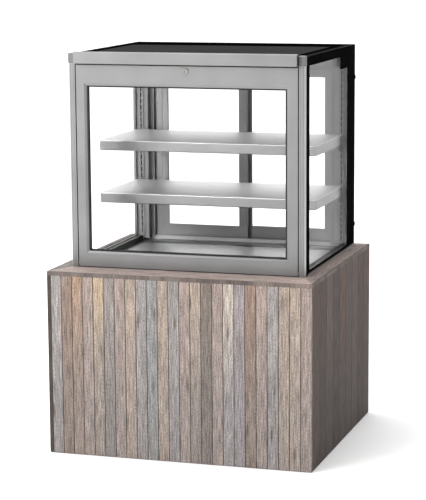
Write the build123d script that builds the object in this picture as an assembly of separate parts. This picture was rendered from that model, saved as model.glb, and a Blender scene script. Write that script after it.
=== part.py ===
"""Refrigerated bakery display case set on a plank-clad counter.

Millimetres. X runs across the front, Y from front to back, Z up. The origin is the middle of the
counter's footprint, on the floor. One STEP file is written for each sub-part.
"""
from build123d import *
import math
import os

# ---------------------------------------------------------------- counter
COUNTER_W = 1028.0
COUNTER_D = 932.0
COUNTER_H = 702.0
PLANK_T = 14.0
PANEL_T = 18.0
TRIM_T = 16.0
FRONT_PLANKS = 24
SIDE_PLANKS = 9
PLANK_GAP = 1.0
PLANK_LIFT = 2.0
HOLE_X = 430.0
HOLE_FRONT = -291.0
HOLE_REAR = 405.0
FLOOR_Z = 60.0
WINDOW_X = 400.0
WINDOW_Z0 = 80.0
WINDOW_Z1 = 600.0
INLET_X = -441.0
INLET_Z = 120.0
INLET_R = 11.0

# ---------------------------------------------------------------- case envelope
CASE_X = 457.0
CASE_FRONT = -347.0
CASE_REAR = 434.0
FLANGE_Z = 706.0
DECK_Z = 692.0
GLASS_Z = 710.2
PANE_T = 5.0
INNER_PANE_X = 437.0
CANOPY_FRONT = 190.0
CANOPY_Z = 1436.0
RAIL_Z = 1500.0
TOP_Z = 1509.0
HEADER_Z = 1474.0
HEADER_TOP = 1517.5

# ---------------------------------------------------------------- posts, shelves
POST_W = 24.0
POST_TOP = 1475.0
SEAL_Y = -312.0
REAR_POST_Y = 352.0
REAR_POST_X = 391.0
JAMB_X = 372.0
SLOT_X = 420.0
SLOT_PITCH = 25.4
SLOT_H = 18.5
SLOT_W = 5.0
SLOT_CHANNEL = 8.0
SHELF_X = 432.0
SHELF_FRONT = -100.0
SHELF_REAR = 312.0
SHELF_T = 40.0
SHELF_TOPS = {"upper": 1160.0, "lower": 955.0}
SHEET = 1.5
EXTRUSION_WALL = 6.0
HEADER_WALL = 3.0

# ---------------------------------------------------------------- tilting front door
DOOR_X = 429.0
DOOR_BOTTOM = FLANGE_Z
DOOR_TOP = 1468.0
DOOR_T = 30.0
STILE_W = 41.0
TOP_RAIL_H = 77.0
BOTTOM_RAIL_H = 59.0
PIVOT_Y = CASE_FRONT + 6.0
PIVOT_Z = DOOR_BOTTOM + 10.0
PIVOT_R = 4.0
LOCK_Z = 1449.0
LOCK_R = 10.0
CAM_L = 28.0
CAM_END_R = 6.5
KEEPER_X = 26.0
KEEPER_DEPTH = 8.0
KEEPER_TOP = 1492.0

# ---------------------------------------------------------------- sliding rear doors
SLIDER_T = 15.0
SLIDER_W = 394.0
SLIDER_Z0 = 711.0
SLIDER_Z1 = 1414.0
LANES = {"left": 385.0, "right": 408.0}
SLIDER_X0 = {"left": -371.0, "right": -3.0}
GRIP_STILE = 54.0
MEETING_STILE = 36.0
SILL_TOP = 716.0
HEAD_BOTTOM = 1408.0

# ---------------------------------------------------------------- machine
EVAPORATOR_FAN = (0.0, 150.0, 634.0)
CONDENSER_FAN = (150.0, 330.0, 210.0)
SWITCH_X = 70.0
BUTTON_XS = {"up": 12.0, "down": 32.0}
PANEL_MID_Z = 1470.0
ROCKER_PIN_R = 1.5
ROCKER_BORE_R = 1.56


def block(x0, x1, y0, y1, z0, z1):
    """A box between two corners."""
    middle = Pos((x0 + x1) / 2, (y0 + y1) / 2, (z0 + z1) / 2)
    return middle * Box(x1 - x0, y1 - y0, z1 - z0)


def along_x(points, x0, x1):
    """A prism whose outline is given in Y and Z."""
    outline = Plane.YZ.offset(x0) * make_face(Polyline(*points, close=True))
    return extrude(outline, amount=x1 - x0)


def along_y(points, y0, y1):
    """A prism whose outline is given in X and Z."""
    outline = Plane.XZ.offset(-y1) * make_face(Polyline(*points, close=True))
    return extrude(outline, amount=y1 - y0)


def along_z(points, z0, z1):
    """A prism whose outline is given in X and Y."""
    outline = Plane.XY.offset(z0) * make_face(Polyline(*points, close=True))
    return extrude(outline, amount=z1 - z0)


def rod_y(x, z, radius, y0, y1):
    """A round bar along Y."""
    return Pos(x, (y0 + y1) / 2, z) * Rot(90, 0, 0) * Cylinder(radius, y1 - y0)


def rod_x(y, z, radius, x0, x1):
    """A round bar along X."""
    return Pos((x0 + x1) / 2, y, z) * Rot(0, 90, 0) * Cylinder(radius, x1 - x0)


def rod_z(x, y, radius, z0, z1):
    """A round bar along Z."""
    return Pos(x, y, (z0 + z1) / 2) * Cylinder(radius, z1 - z0)


def mirrored(shape):
    """The same piece on the other side of the case."""
    return mirror(shape, about=Plane.YZ)


def write(name, *shapes):
    """One STEP file: a single solid, or a group of separate solids."""
    solids = []
    for shape in shapes:
        solids.extend(shape.solids())
    piece = solids[0] if len(solids) == 1 else Compound(children=solids)
    export_step(piece, os.path.join("parts", name + ".step"))


# ================================================================ counter
def plank_row(start, width, count):
    """Plank edges along a wall, as pairs of low and high coordinates."""
    return [(start + i * width, start + (i + 1) * width - PLANK_GAP) for i in range(count)]


def front_planks():
    """Narrow boards that butt against the end grain of the left side's first board."""
    x_start = -COUNTER_W / 2 + PLANK_T + PLANK_GAP
    width = (COUNTER_W / 2 + PLANK_GAP - x_start) / FRONT_PLANKS
    y0 = -COUNTER_D / 2
    top = COUNTER_H - TRIM_T - 0.5
    boards = []
    for x0, x1 in plank_row(x_start, width, FRONT_PLANKS):
        board = block(x0, x1, y0, y0 + PLANK_T, PLANK_LIFT, top)
        front_edges = board.edges().filter_by(Axis.Z).group_by(Axis.Y)[0]
        boards.append(chamfer(front_edges, 1.0))
    return boards


def side_planks(y_start):
    """Wider boards on a side wall, drawn on the right."""
    width = (COUNTER_D / 2 + PLANK_GAP - y_start) / SIDE_PLANKS
    x1 = COUNTER_W / 2
    top = COUNTER_H - TRIM_T - 0.5
    boards = []
    for y0, y1 in plank_row(y_start, width, SIDE_PLANKS):
        board = block(x1 - PLANK_T, x1, y0, y1, PLANK_LIFT, top)
        outer_edges = board.edges().filter_by(Axis.Z).group_by(Axis.X)[-1]
        boards.append(chamfer(outer_edges, 1.0))
    return boards


def counter():
    """Plywood carcass, plank cladding, mitred top boards and the louvred rear panel."""
    in_x = COUNTER_W / 2 - PLANK_T
    in_y = COUNTER_D / 2 - PLANK_T
    top = COUNTER_H - TRIM_T
    write("counter_front_panel", block(-in_x, in_x, -in_y, -in_y + PANEL_T, 0, top))
    side = block(in_x - PANEL_T, in_x, -in_y + PANEL_T, COUNTER_D / 2, 0, top)
    write("counter_right_panel", side)
    write("counter_left_panel", mirrored(side))
    wall_x = in_x - PANEL_T
    wall_y = COUNTER_D / 2 - PANEL_T
    write("counter_floor", block(-wall_x, wall_x, -in_y + PANEL_T, wall_y, FLOOR_Z, FLOOR_Z + PANEL_T))

    left_board = block(-wall_x, -WINDOW_X, wall_y, COUNTER_D / 2, 0, top)
    left_board -= rod_y(INLET_X, INLET_Z, INLET_R, wall_y - 1, COUNTER_D / 2 + 1)
    right_board = block(WINDOW_X, wall_x, wall_y, COUNTER_D / 2, 0, top)
    low_board = block(-WINDOW_X, WINDOW_X, wall_y, COUNTER_D / 2, 0, WINDOW_Z0)
    high_board = block(-WINDOW_X, WINDOW_X, wall_y, COUNTER_D / 2, WINDOW_Z1, top)
    write("counter_rear_frame", left_board, right_board, low_board, high_board)

    write("front_planks", *front_planks())
    write("right_planks", *side_planks(-COUNTER_D / 2 + PLANK_T + PLANK_GAP))
    left = [mirrored(board) for board in side_planks(-COUNTER_D / 2)]
    write("left_planks", *left)
    top_trim()
    louvre_panel()


def top_trim():
    """Four boards with mitred corners around the opening that the case drops into."""
    ox = COUNTER_W / 2
    oy = COUNTER_D / 2
    gap = 0.3
    z0 = COUNTER_H - TRIM_T
    front = [(-ox, -oy), (ox, -oy), (HOLE_X, HOLE_FRONT), (-HOLE_X, HOLE_FRONT)]
    rear = [(-ox, oy), (ox, oy), (HOLE_X, HOLE_REAR), (-HOLE_X, HOLE_REAR)]
    right = [(ox, -oy + gap), (ox, oy - gap), (HOLE_X, HOLE_REAR - gap), (HOLE_X, HOLE_FRONT + gap)]
    for name, outline in {"front": front, "rear": rear, "right": right}.items():
        board = along_z(outline, z0, COUNTER_H)
        board = chamfer(board.edges().group_by(Axis.Z)[-1], 1.0)
        write("top_trim_" + name, board)
        if name == "right":
            write("top_trim_left", mirrored(board))


def louvre_panel():
    """Steel access panel set in the rear frame, with pressed louvres in two columns."""
    y0 = COUNTER_D / 2 - 14
    sheet = 2.0
    panel = block(1 - WINDOW_X, WINDOW_X - 1, y0, y0 + sheet, WINDOW_Z0 + 1, WINDOW_Z1 - 1)
    for column in (-190, 190):
        for row in range(16):
            z = 130 + row * 28
            hood = [(y0 + sheet, z + 14), (y0 + sheet + 8, z), (y0 + sheet, z)]
            panel += along_x(hood, column - 150, column + 150)
            slot = [
                (y0 - 1, z - 1),
                (y0 + 1.0, z - 1),
                (y0 + 7.0, z + 0.5),
                (y0 + 1.0, z + 11),
                (y0 - 1, z + 11),
            ]
            panel -= along_x(slot, column - 148, column + 148)
    write("rear_louvre_panel", panel)


# ================================================================ base of the case
def base_tub():
    """Insulated tub that hangs in the counter by its flange, with the front seal upstand."""
    tub = block(-427, 427, -288, 402, 552, COUNTER_H)
    tub += block(-458, 458, SEAL_Y + 10.2, CASE_REAR, COUNTER_H, FLANGE_Z)
    tub -= block(-396, 396, -257, 371, 582, 690)
    tub -= block(-424, 424, -285, 375.5, 690, FLANGE_Z + 1)
    tub += block(-411.5, 411.5, SEAL_Y + 0.2, -292, COUNTER_H, 745)
    write("base_tub", tub)


def deck():
    """Flat display deck and the slotted air grille that rises to the rear sill."""
    write("deck_pan", block(-419.5, 419.5, -284.5, 306, 690, DECK_Z))
    y0 = 307.0
    y1 = 373.0
    rise = 10.0
    ramp = [(y0, DECK_Z - SHEET), (y0, DECK_Z), (y1, DECK_Z + rise), (y1, DECK_Z + rise - SHEET)]
    grille = along_x(ramp, -419.5, 419.5)
    grille += block(-371.5, 371.5, y1 - SHEET, y1, DECK_Z + rise - SHEET, SILL_TOP)
    pitch = 10.0
    count = 82
    cutters = []
    for i in range(count):
        x = (i - (count - 1) / 2) * pitch
        cutters.append(block(x - 2.6, x + 2.6, y0 + 7, y1 - 5, DECK_Z - 5, DECK_Z + 12))
    write("deck_grille", grille - cutters)


def base_rails():
    """Glazing channel on the tub's flange, with the liner strip that hangs beside the deck."""
    rear = REAR_POST_Y - 0.5
    front = SEAL_Y + 10.5
    rail = block(420, 423.7, -284.5, rear, DECK_Z - 1.8, SILL_TOP)
    rail += block(423.7, 436.5, front, rear, FLANGE_Z + 0.2, SILL_TOP)
    rail += block(436.5, CASE_X + 0.5, front, rear, FLANGE_Z + 0.2, GLASS_Z - 0.2)
    rail += block(451.8, CASE_X + 0.5, rear, CASE_REAR, FLANGE_Z + 0.2, GLASS_Z - 0.2)
    write("base_rail_right", rail)
    write("base_rail_left", mirrored(rail))


# ================================================================ posts, header, top
def front_post():
    """Extruded corner post with a sealing lip behind the door, drawn on the right."""
    inner = CASE_X - POST_W
    nose = CASE_FRONT + 13.8
    lip_back = SEAL_Y + 10
    outline = [
        (inner, CASE_FRONT),
        (CASE_X, CASE_FRONT),
        (CASE_X, nose),
        (CASE_X - PANE_T - 0.3, nose),
        (CASE_X - PANE_T - 0.3, lip_back),
        (412, lip_back),
        (412, SEAL_Y),
        (inner, SEAL_Y),
    ]
    post = along_z(outline, COUNTER_H, POST_TOP)
    corner = post.edges().filter_by(Axis.Z).sort_by_distance((CASE_X, CASE_FRONT, 1100))[0]
    post = fillet(corner, 4.0)
    for x in (inner + 6, CASE_X - 7):
        post -= block(x - 0.6, x + 0.6, CASE_FRONT - 1, CASE_FRONT + 0.9, COUNTER_H - 1, POST_TOP + 1)
    post -= rod_x(PIVOT_Y, PIVOT_Z, PIVOT_R + 0.06, inner - 1, inner + 10)
    return post


def post_cap():
    """Cap on a front post, a little wider than the post, drawn on the right."""
    front = CASE_FRONT - 2
    nose = CASE_FRONT + 13.8
    cap = block(431, CASE_X + 2, front, nose, POST_TOP, TOP_Z + 2)
    cap += block(431, CASE_X - PANE_T - 0.5, nose - 1, SEAL_Y - 5, POST_TOP, TOP_Z + 2)
    outer = cap.faces().sort_by(Axis.Y)[0].edges()
    return chamfer(outer, 2.0)


def rear_post(pocket):
    """Hollow rear post, open behind the shelf slots, drawn on the right; pocket takes a door's edge."""
    post = block(REAR_POST_X, 451.5, REAR_POST_Y, CASE_REAR, FLANGE_Z, CANOPY_Z - 0.3)
    post += block(JAMB_X, REAR_POST_X, REAR_POST_Y + 20, CASE_REAR, FLANGE_Z, CANOPY_Z - 0.3)
    post += block(437.5, 451.5, REAR_POST_Y, CASE_REAR, CANOPY_Z - 1, RAIL_Z - 0.3)
    for x in (JAMB_X + 6, JAMB_X + 13):
        post -= block(x - 1, x + 1, REAR_POST_Y + 19, REAR_POST_Y + 21.5, FLANGE_Z - 1, CANOPY_Z)
    wall = EXTRUSION_WALL
    chamber_top = CANOPY_Z - 8
    post -= block(
        REAR_POST_X + wall, 451.5 - wall,
        REAR_POST_Y + wall, CASE_REAR - wall,
        FLANGE_Z + wall, chamber_top,
    )
    post -= block(
        SLOT_X - SLOT_CHANNEL / 2, SLOT_X + SLOT_CHANNEL / 2,
        REAR_POST_Y - 1, REAR_POST_Y + wall + 1,
        FLANGE_Z + 14, chamber_top,
    )
    if pocket:
        lane = LANES["right"]
        post -= block(JAMB_X - 1, REAR_POST_X + 1.5, lane - 1, lane + SLIDER_T + 1, 709, 1424)
    return post


def header():
    """Hollow front header: a proud bar, a beam behind it with the lock's keeper, and the top seal lip."""
    outline = [
        (CASE_FRONT - 22, HEADER_Z),
        (CASE_FRONT - 22, HEADER_TOP - 3),
        (CASE_FRONT - 19, HEADER_TOP),
        (CASE_FRONT + 2, HEADER_TOP),
        (CASE_FRONT + 2, TOP_Z - 6.5),
        (SEAL_Y + 10, TOP_Z - 6.5),
        (SEAL_Y + 10, HEADER_Z + 4),
        (CASE_FRONT + 2, HEADER_Z + 4),
        (CASE_FRONT + 2, HEADER_Z),
    ]
    bar = along_x(outline, -430.5, 430.5)
    bar += block(-411.5, 411.5, SEAL_Y, SEAL_Y + 10, 1398, HEADER_Z + 5)
    bar -= block(-430.6, -411.6, SEAL_Y - 1, SEAL_Y + 11, 1390, POST_TOP + 0.2)
    bar -= block(-KEEPER_X, KEEPER_X, SEAL_Y - KEEPER_DEPTH, SEAL_Y - 0.01, HEADER_Z, KEEPER_TOP)
    wall = HEADER_WALL
    bar -= block(-425, 425, CASE_FRONT - 22 + wall, CASE_FRONT - 1, HEADER_Z + wall, HEADER_TOP - 4)
    for side in (-1, 1):
        ends = sorted((side * 30, side * 405))
        chamber_y = (CASE_FRONT + 6, SEAL_Y + 10 - wall)
        bar -= block(*ends, *chamber_y, HEADER_Z + 4 + wall, TOP_Z - 6.5 - wall)
    return bar


def header_lamp():
    """Light strip behind the header: a channel with a domed diffuser."""
    y0 = SEAL_Y + 10.2
    lamp = block(-400, 400, y0, y0 + 22, 1484, 1500)
    lamp += rod_x(y0 + 11, 1484, 9, -396, 396)
    return lamp


def side_top_rail():
    """Rail along the top of the side glazing; its rebate carries the top glass."""
    rail = block(430, 451.7, SEAL_Y + 10.3, CASE_REAR, RAIL_Z, RAIL_Z + 3)
    rail += block(444.3, 451.7, SEAL_Y + 10.3, CASE_REAR, RAIL_Z + 2, TOP_Z - 1)
    return rail


def canopy():
    """Sheet-metal housing under the rear of the top glass, with a window for the controls."""
    box = block(-436.5, 436.5, CANOPY_FRONT, CASE_REAR - 0.5, CANOPY_Z, RAIL_Z - 0.3)
    inner = SHEET
    box -= block(
        -436.5 + inner, 436.5 - inner, CANOPY_FRONT + inner, CASE_REAR - 0.5 - inner,
        CANOPY_Z + inner, RAIL_Z - 0.3 - inner,
    )
    box -= block(-96, 96, CASE_REAR - 4, CASE_REAR + 1, PANEL_MID_Z - 20, PANEL_MID_Z + 20)
    return box


def side_glazing():
    """Sealed double pane of one side, drawn on the right."""
    front = SEAL_Y + 10.6
    outer = block(CASE_X - PANE_T, CASE_X, CASE_FRONT + 14.3, CASE_REAR, GLASS_Z, TOP_Z - 1)
    inner = block(INNER_PANE_X, INNER_PANE_X + PANE_T, front, REAR_POST_Y - 0.3, GLASS_Z, RAIL_Z - 0.3)
    edges = outer.edges().filter_by(Axis.Z).group_by(Axis.X)[-1]
    return chamfer(edges, 0.8), inner


def case_frame():
    """Posts, header, rails, canopy and fixed glass."""
    post = front_post()
    write("front_post_right", post)
    write("front_post_left", mirrored(post))
    write("post_caps", post_cap(), mirrored(post_cap()))
    write("rear_post_right", rear_post(True))
    write("rear_post_left", mirrored(rear_post(False)))
    write("front_header", header())
    write("header_lamp", header_lamp())
    write("side_top_rail_right", side_top_rail())
    write("side_top_rail_left", mirrored(side_top_rail()))
    write("top_canopy", canopy())
    outer, inner = side_glazing()
    write("side_glazing_right", outer, inner)
    write("side_glazing_left", mirrored(outer), mirrored(inner))
    top = block(-444, 444, SEAL_Y + 10.3, CASE_REAR, RAIL_Z + 3, TOP_Z)
    write("top_glass", chamfer(top.edges().group_by(Axis.Z)[-1], 1.5))
    studs = []
    for z in (789, 1379):
        stud = rod_x(CASE_REAR - 13, z, 9, CASE_X, CASE_X + 4.5)
        stud = fillet(stud.edges().group_by(Axis.X)[-1], 1.5)
        studs += [stud, mirrored(stud)]
    write("glass_studs", *studs)


# ================================================================ shelves
def shelf(z_top):
    """Closed sheet-metal shelf with a rounded nose."""
    body = block(-SHELF_X, SHELF_X, SHELF_FRONT, SHELF_REAR, z_top - SHELF_T, z_top)
    nose = body.edges().filter_by(Axis.X).group_by(Axis.Y)[0]
    body = fillet(nose, 4.0)
    ends = body.edges().group_by(Axis.Z)[-1].filter_by(Axis.Y)
    body = fillet(ends, 3.0)
    hollow = block(
        -SHELF_X + 5, SHELF_X - 5, SHELF_FRONT + 5, SHELF_REAR - 5, z_top - SHELF_T + SHEET, z_top - SHEET,
    )
    return body - hollow


def slot_z(index):
    """Height of the middle of one slot in the standards."""
    return 738.0 + index * SLOT_PITCH


def standard():
    """Slotted upright for the shelf brackets, drawn on the right."""
    strip = block(SLOT_X - 10, SLOT_X + 10, REAR_POST_Y - 3.2, REAR_POST_Y, FLANGE_Z + 10, CANOPY_Z - 1)
    slots = []
    for index in range(27):
        z = slot_z(index)
        slots.append(block(
            SLOT_X - SLOT_W / 2, SLOT_X + SLOT_W / 2, REAR_POST_Y - 4, REAR_POST_Y + 1,
            z - SLOT_H / 2, z + SLOT_H / 2,
        ))
    return strip - slots


def bracket(z_under):
    """Shelf bracket plate with two tabs in the standard's slots, drawn on the right."""
    back = REAR_POST_Y - 3.4
    outline = [
        (60, z_under - 0.1),
        (60, z_under - 6),
        (215, z_under - 9),
        (back, z_under - 34),
        (back, z_under - 0.1),
    ]
    plate = along_x(outline, SLOT_X - 1.5, SLOT_X + 1.5)
    flange = block(SLOT_X - 16, SLOT_X - 1.4, 60, back, z_under - 2.1, z_under - 0.1)
    plate += flange
    reachable = [i for i in range(27) if z_under - 30 < slot_z(i) < z_under - 4]
    z = slot_z(reachable[0])
    plate += block(SLOT_X - 1.5, SLOT_X + 1.5, back - 1, REAR_POST_Y - 0.4, z - 7, z + 7)
    return plate


def shelves():
    """Two shelves on brackets, and the slotted standards."""
    write("shelf_standard_right", standard())
    write("shelf_standard_left", mirrored(standard()))
    for name, z_top in SHELF_TOPS.items():
        write(name + "_shelf", shelf(z_top))
        arm = bracket(z_top - SHELF_T)
        write(name + "_shelf_brackets", arm, mirrored(arm))


# ================================================================ tilting front door
def door_member(outline):
    """Part of the door frame from its outline in X and Z, with the glazing groove and bead bevel."""
    member = along_y(outline, CASE_FRONT, CASE_FRONT + DOOR_T)
    inner_x = DOOR_X - STILE_W
    z0 = DOOR_BOTTOM + BOTTOM_RAIL_H
    z1 = DOOR_TOP - TOP_RAIL_H
    member -= block(-inner_x - 7, inner_x + 7, CASE_FRONT + 5.5, CASE_FRONT + 24.5, z0 - 7, z1 + 7)
    return member - bead_bevel(inner_x, z0, z1)


def bead_bevel(inner_x, z0, z1):
    """The flared opening that gives the frame its bevelled glazing bead."""
    wide = 9.0
    deep = 3.5
    middle = Pos(0, (z0 + z1) / 2)
    mouth = Plane.XZ.offset(-CASE_FRONT) * middle * Rectangle(2 * (inner_x + wide), z1 - z0 + 2 * wide)
    throat = Plane.XZ.offset(-CASE_FRONT - deep) * middle * Rectangle(2 * inner_x, z1 - z0)
    return loft([mouth, throat])


def front_door():
    """Framed double glass that tilts forward on pins at its bottom corners."""
    ox = DOOR_X
    ix = DOOR_X - STILE_W
    z0 = DOOR_BOTTOM
    z1 = z0 + BOTTOM_RAIL_H
    z3 = DOOR_TOP
    z2 = z3 - TOP_RAIL_H
    low = z1 - STILE_W
    high = z2 + STILE_W
    top = [(-ox, z3), (ox, z3), (ox, high), (ix, z2), (-ix, z2), (-ox, high)]
    bottom = [(-ox, z0), (ox, z0), (ox, low), (ix, z1), (-ix, z1), (-ox, low)]
    stile = [(ix, z1), (ox, low), (ox, high), (ix, z2)]

    top_rail = door_member(top)
    top_rail -= block(-ix + 20, -LOCK_R - 15, CASE_FRONT + 3, CASE_FRONT + 27, z2 + 12, z3 - 5)
    top_rail -= block(LOCK_R + 15, ix - 20, CASE_FRONT + 3, CASE_FRONT + 27, z2 + 12, z3 - 5)
    top_rail -= rod_y(0, LOCK_Z, LOCK_R, CASE_FRONT - 1, CASE_FRONT + DOOR_T + 1)
    write("front_door_top_rail", top_rail)

    bottom_rail = door_member(bottom)
    bottom_rail -= block(-ix + 10, ix - 10, CASE_FRONT + 3, CASE_FRONT + 27, z0 + 4, z1 - 12)
    for side in (-1, 1):
        ends = sorted((side * (ox - 8), side * (ox + 9)))
        bottom_rail += rod_x(PIVOT_Y, PIVOT_Z, PIVOT_R, ends[0], ends[1])
    write("front_door_bottom_rail", bottom_rail)

    right = door_member(stile)
    write("front_door_right_stile", right)
    write("front_door_left_stile", mirrored(right))

    glass_y = CASE_FRONT + 6.5
    edge = 6.0
    panes = []
    for y in (glass_y, glass_y + 12):
        panes.append(block(-ix - edge, ix + edge, y, y + PANE_T, z1 - edge, z2 + edge))
    write("front_door_glass", *panes)
    write("front_door_gaskets", *door_gaskets(ix, z1, z2))
    door_lock()


def ring(half_out, half_in, low, low_in, high_in, high, y0, y1):
    """A rectangular ring in the plane of the door."""
    outer = block(-half_out, half_out, y0, y1, low, high)
    return outer - block(-half_in, half_in, y0 - 1, y1 + 1, low_in, high_in)


def door_gaskets(ix, z1, z2):
    """Glazing bead gasket in front of the glass, and the seal on the back of the frame."""
    bead = ring(ix, ix - 6, z1, z1 + 2.5, z2 - 2.5, z2, CASE_FRONT + 3.6, CASE_FRONT + 6.3)
    back = CASE_FRONT + DOOR_T
    seal = ring(428, 414, PIVOT_Z, PIVOT_Z + 14, 1403, 1417, back, SEAL_Y - 0.4)
    return bead, seal


def door_lock():
    """Lock housing in the top rail, and its cylinder with the cam that turns behind the header."""
    housing = rod_y(0, LOCK_Z, LOCK_R, CASE_FRONT - 0.5, CASE_FRONT + DOOR_T)
    disc = rod_y(0, LOCK_Z, 14, CASE_FRONT - 3, CASE_FRONT)
    disc = chamfer(disc.edges().group_by(Axis.Y)[0], 1.2)
    housing += disc
    housing -= rod_y(0, LOCK_Z, 7.05, CASE_FRONT - 4, CASE_FRONT + DOOR_T + 1)
    write("front_door_lock", housing)
    cylinder = rod_y(0, LOCK_Z, 7.0, CASE_FRONT - 3.6, CASE_FRONT + DOOR_T + 1)
    cylinder -= block(-0.8, 0.8, CASE_FRONT - 5, CASE_FRONT + 8, LOCK_Z - 4, LOCK_Z + 4)
    y0 = CASE_FRONT + DOOR_T + 0.7
    cam = block(0, CAM_L, y0, y0 + 2.6, LOCK_Z - CAM_END_R, LOCK_Z + CAM_END_R)
    cam += rod_y(0, LOCK_Z, CAM_END_R, y0, y0 + 2.6)
    cam += rod_y(CAM_L, LOCK_Z, CAM_END_R, y0, y0 + 2.6)
    write("lock_cylinder", cylinder + cam)


# ================================================================ sliding rear doors
def track(z0, z1, floor_z, up):
    """Two-lane track across the rear opening."""
    bar = block(-JAMB_X + 0.2, JAMB_X - 0.2, 376, 432, z0, z1)
    for lane in LANES.values():
        low, high = (floor_z, z1 + 1) if up else (z0 - 1, floor_z)
        bar -= block(-JAMB_X, JAMB_X, lane - 1, lane + SLIDER_T + 1, low, high)
    return bar


def slider(side):
    """One sliding door: two stiles, two rails and a double pane."""
    x0 = SLIDER_X0[side]
    x1 = x0 + SLIDER_W
    y0 = LANES[side]
    y1 = y0 + SLIDER_T
    grip = (x0, x0 + GRIP_STILE) if side == "left" else (x1 - GRIP_STILE, x1)
    meeting = (x1 - MEETING_STILE, x1) if side == "left" else (x0, x0 + MEETING_STILE)
    glass_x = (grip[1], meeting[0]) if side == "left" else (meeting[1], grip[0])
    low = SLIDER_Z0 + 52
    high = HEAD_BOTTOM - 32
    grip_stile = block(grip[0], grip[1], y0, y1, SLIDER_Z0, SLIDER_Z1)
    middle = (grip[0] + grip[1]) / 2
    grip_stile -= block(middle - 9, middle + 9, y1 - 4, y1 + 1, 1000, 1120)
    step = block(glass_x[0] - 24, glass_x[1] + 24, y0 - 1, y0 + 1.5, low - 12, high + 12)
    pieces = [
        grip_stile - step,
        block(meeting[0], meeting[1], y0, y1, SLIDER_Z0, SLIDER_Z1),
        block(glass_x[0], glass_x[1], y0, y1, SLIDER_Z0, low),
        block(glass_x[0], glass_x[1], y0, y1, high, SLIDER_Z1),
    ]
    groove = block(glass_x[0] - 5, glass_x[1] + 5, y0 + 2, y1 - 2, low - 5, high + 5)
    write("rear_" + side + "_door_frame", *[piece - groove for piece in pieces])
    panes = []
    for y in (y0 + 2.5, y0 + 9.5):
        panes.append(block(glass_x[0] - 4.5, glass_x[1] + 4.5, y, y + 3, low - 4.5, high + 4.5))
    write("rear_" + side + "_door_glass", *panes)


def rear_doors():
    """Tracks and the two sliding doors."""
    write("rear_lower_track", track(FLANGE_Z, SILL_TOP + 2, 709, True))
    write("rear_upper_track", track(HEAD_BOTTOM, CANOPY_Z - 0.3, 1424, False))
    slider("left")
    slider("right")


# ================================================================ refrigeration and controls
def fan(centre, radius, hub_r, width, blades):
    """Axial fan wheel on a hub, turning about Y."""
    x, y, z = centre
    wheel = rod_y(x, z, hub_r, y - width / 2, y + width / 2)
    blade_len = radius - hub_r + 3
    for i in range(blades):
        blade = Pos(0, 0, hub_r + blade_len / 2 - 3) * Rot(0, 0, 28) * Box(hub_r * 1.5, 2.0, blade_len)
        wheel += Pos(x, y, z) * Rot(0, i * 360 / blades, 0) * blade
    return wheel - rod_y(x, z, 3.05, y - width, y + width / 2 - 4)


def motor(centre, radius, length, width):
    """Fan motor in front of the wheel, with its shaft."""
    x, y, z = centre
    body = rod_y(x, z, radius, y - width / 2 - 2 - length, y - width / 2 - 2)
    return body + rod_y(x, z, 3.0, y - width / 2 - 3, y + width / 2 - 5)


def evaporator():
    """Finned coil and fan motor in the tub, and the fan wheel."""
    coil = block(-300, 300, 215, 300, 590, 670)
    fins = [block(-296 + 8 * i, -292 + 8 * i, 210, 305, 596, 676) for i in range(74)]
    coil -= fins
    for end in (-301.5, 300):
        coil += block(end, end + 1.5, 210, 305, 582, 676)
    x, y, z = EVAPORATOR_FAN
    drive = motor(EVAPORATOR_FAN, 22, 30, 20)
    drive += block(x - 12, x + 12, y - 42, y - 12, 582, z - 15)
    write("evaporator_coil", coil, drive)
    write("evaporator_fan", fan(EVAPORATOR_FAN, 46, 15, 20, 5))


def condensing_unit():
    """Base plate, compressor, condenser coil and fan motor on the counter's floor, and its fan wheel."""
    floor = FLOOR_Z + PANEL_T
    x, y, z = CONDENSER_FAN
    plate = block(-280, 300, 60, 425, floor, floor + 3)
    shell = rod_z(-140, 230, 85, floor + 3, floor + 150)
    shell = fillet(shell.edges().group_by(Axis.Z)[-1], 40)
    shell = fillet(shell.edges().group_by(Axis.Z)[0], 10)
    coil = block(x - 140, x + 140, 375, 420, floor + 3, floor + 268)
    fins = [block(x - 134 + 8 * i, x - 130 + 8 * i, 374, 421, floor + 8, floor + 262) for i in range(34)]
    drive = motor(CONDENSER_FAN, 38, 60, 30)
    drive += block(x - 15, x + 15, y - 70, y - 25, floor + 3, z - 30)
    write("condensing_unit", plate, shell, coil - fins, drive)
    write("condenser_fan", fan(CONDENSER_FAN, 115, 30, 30, 5))


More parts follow.
